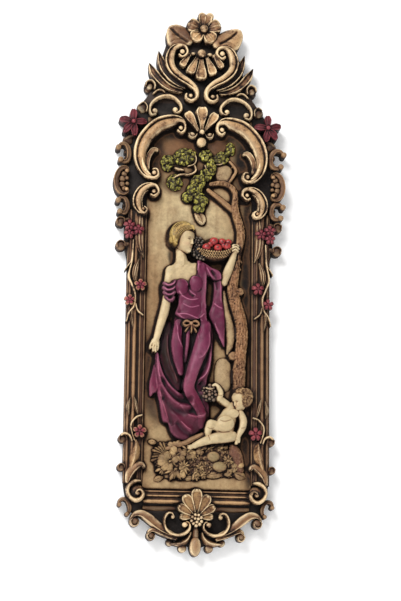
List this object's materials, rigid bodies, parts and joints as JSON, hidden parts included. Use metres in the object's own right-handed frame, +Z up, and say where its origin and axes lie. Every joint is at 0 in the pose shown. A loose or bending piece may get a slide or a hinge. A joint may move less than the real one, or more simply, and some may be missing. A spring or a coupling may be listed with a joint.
{
  "type": "decorative wall plaque",
  "caption": "Tall cast wall plaque: a scrolled frame with a flower crest round a relief of a lady with a fruit basket and a cherub by a tree.",
  "frame": {"origin": "on the flat back, at the middle of the width and near the middle of the height, where the wall touches it", "axes": "+X to the viewer's right, +Y into the wall, +Z up; the relief faces -Y"},
  "size_m": [0.1968, 0.0323, 0.6096],
  "materials": {
    "painted_resin": "hand painted, satin, with a dark wash in the hollows"
  },
  "bodies": {
    "root": {"plaque": "painted_resin"}
  },
  "joints": []
}
